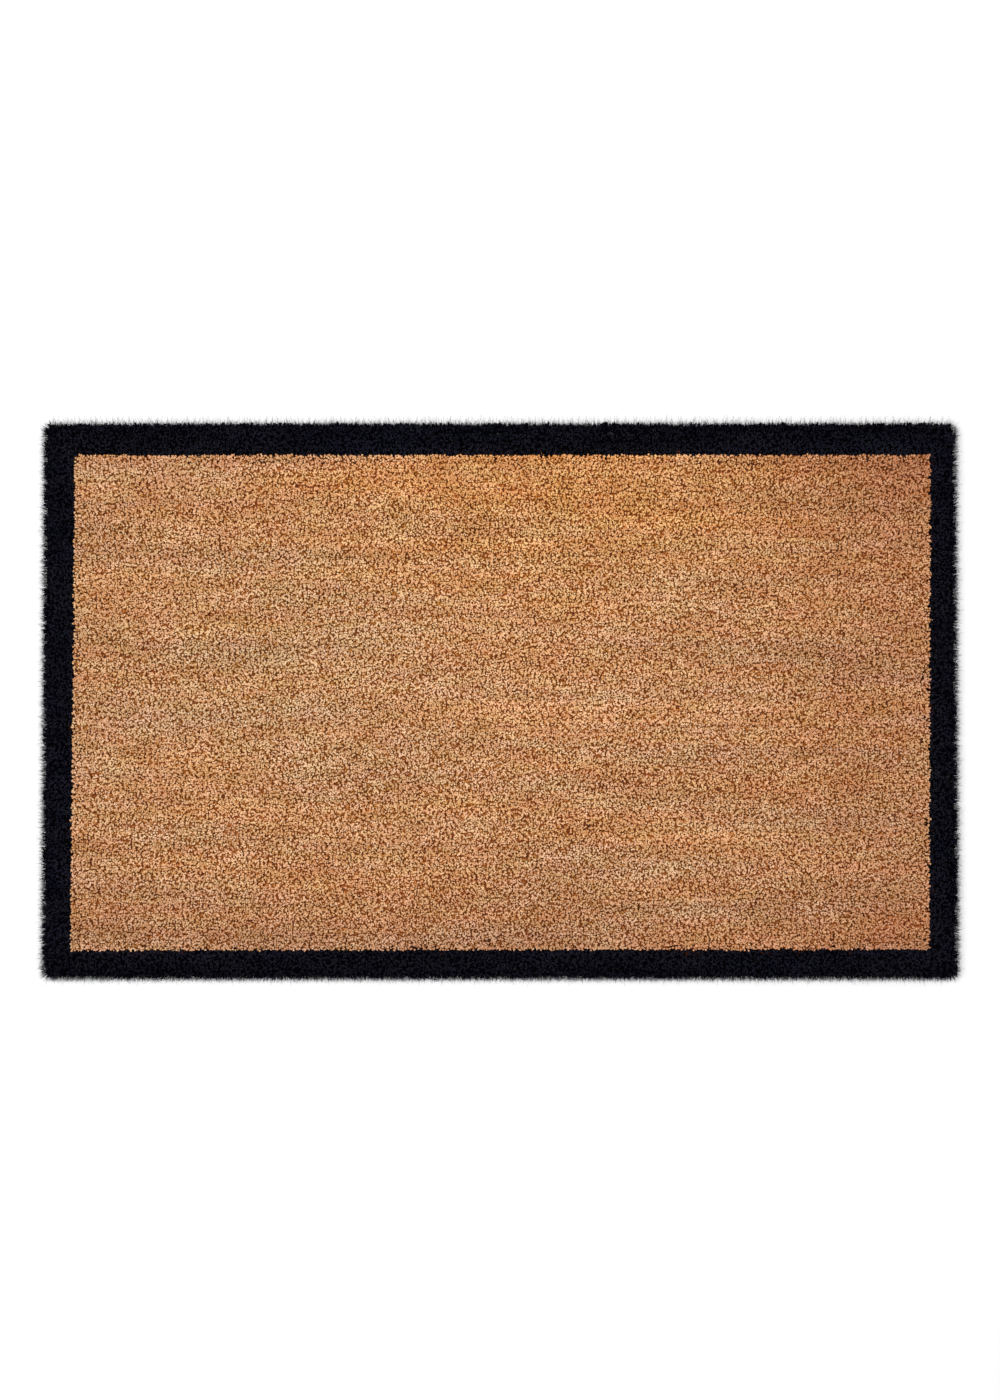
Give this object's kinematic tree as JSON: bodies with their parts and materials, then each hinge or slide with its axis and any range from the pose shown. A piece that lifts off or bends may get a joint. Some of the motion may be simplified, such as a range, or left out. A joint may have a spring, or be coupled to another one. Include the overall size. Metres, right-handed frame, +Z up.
{
  "type": "door mat",
  "caption": "Rectangular coir door mat with a natural brown pile field, a black pile border on all four sides and a flat vinyl backing.",
  "frame": {"origin": "centre of the flat underside, on the floor", "axes": "+X along the long side to the right, +Y along the short side to the back edge (the top edge in the view from above), +Z up out of the pile"},
  "size_m": [0.75, 0.455, 0.015],
  "materials": {
    "vinyl_backing": "matt black moulded vinyl with a fine cloth-like embossing on the underside",
    "black_coir": "black-dyed cut coir pile, fully matt",
    "natural_coir": "undyed cut coir pile, golden brown with lighter tips and darker roots, matt with a slight fibre sheen"
  },
  "bodies": {
    "root": {"backing_sheet": "vinyl_backing", "border_back": "black_coir", "border_front": "black_coir", "border_left": "black_coir", "border_right": "black_coir", "coir_rows_01": "natural_coir", "coir_rows_02": "natural_coir", "coir_rows_03": "natural_coir", "coir_rows_04": "natural_coir", "coir_rows_05": "natural_coir", "coir_rows_06": "natural_coir", "coir_rows_07": "natural_coir", "coir_rows_08": "natural_coir", "coir_rows_09": "natural_coir", "coir_rows_10": "natural_coir", "coir_rows_11": "natural_coir", "coir_rows_12": "natural_coir", "coir_rows_13": "natural_coir", "coir_rows_14": "natural_coir", "coir_rows_15": "natural_coir", "coir_rows_16": "natural_coir", "coir_rows_17": "natural_coir", "coir_rows_18": "natural_coir", "coir_rows_19": "natural_coir", "coir_rows_20": "natural_coir", "coir_rows_21": "natural_coir", "coir_rows_22": "natural_coir"}
  },
  "joints": []
}
